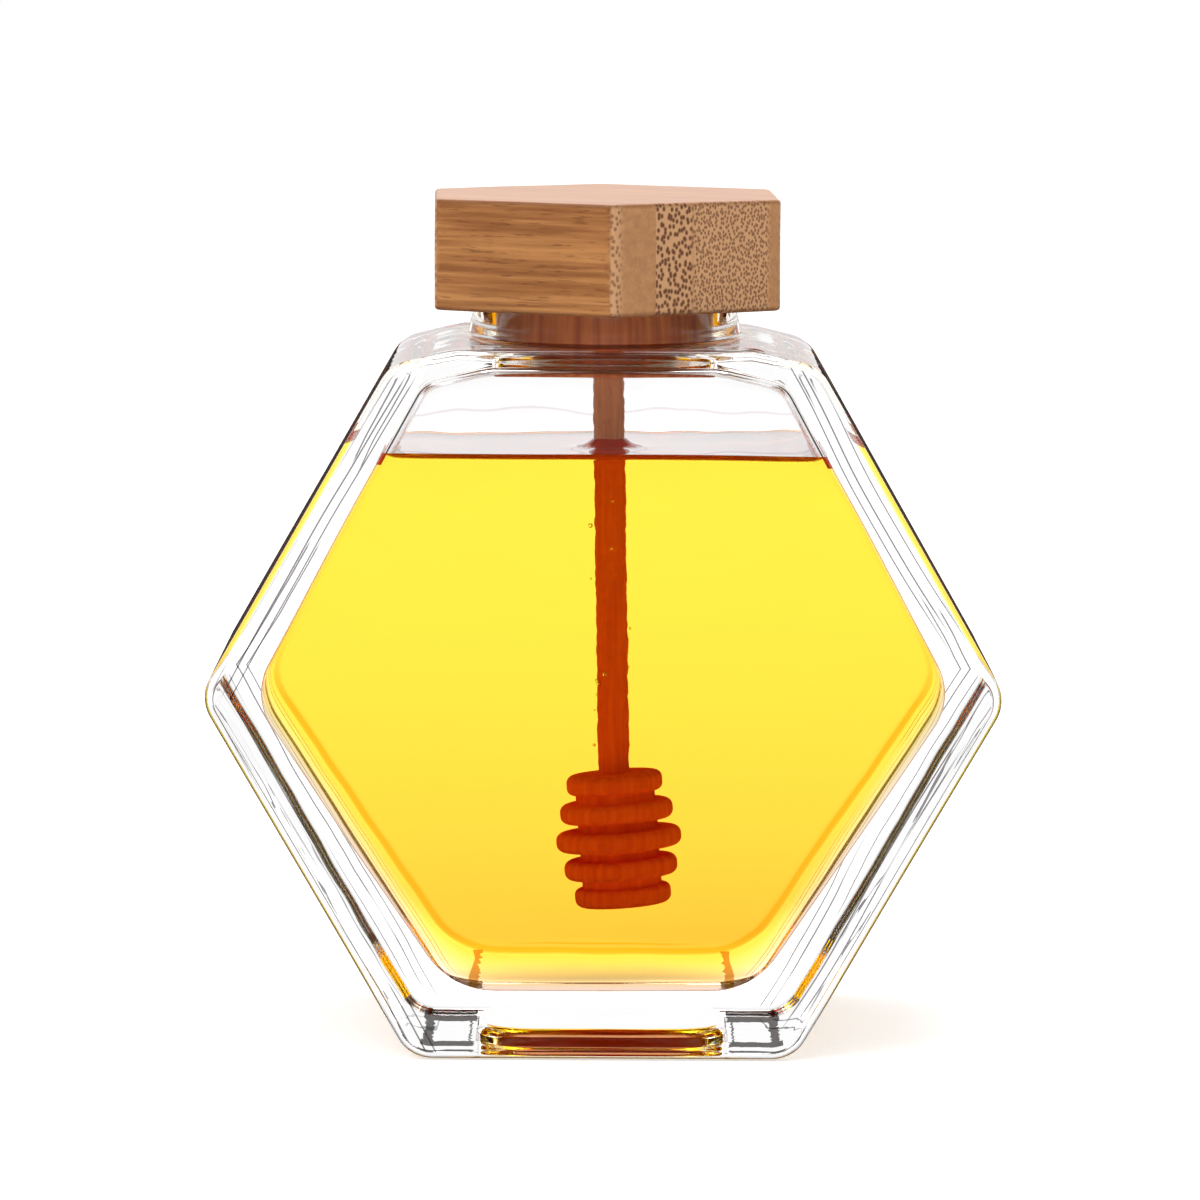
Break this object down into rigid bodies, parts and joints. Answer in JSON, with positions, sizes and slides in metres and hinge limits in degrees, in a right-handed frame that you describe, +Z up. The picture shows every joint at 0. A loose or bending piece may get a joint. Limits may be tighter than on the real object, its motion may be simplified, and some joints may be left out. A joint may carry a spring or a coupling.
{
  "type": "honey jar with dipper",
  "caption": "Hexagonal thick-walled glass jar of clear yellow honey with a hexagonal bamboo lid, a wooden stopper and a ridged wooden dipper hanging into the honey.",
  "frame": {"origin": "middle of the foot's underside, on the ground", "axes": "+Z up through the neck, X along the width between the side corners, front towards -Y"},
  "size_m": [0.1202, 0.06, 0.1298],
  "materials": {
    "glass": "clear polished soda-lime glass",
    "honey": "clear yellow liquid honey",
    "bamboo": "satin laminated bamboo",
    "stopper_wood": "matt turned wood",
    "dipper_wood": "matt turned wood wetted by honey"
  },
  "bodies": {
    "root": {"glass_jar": "glass", "honey": "honey", "lid": "bamboo", "stopper": "stopper_wood", "dipper": "dipper_wood"}
  },
  "joints": []
}
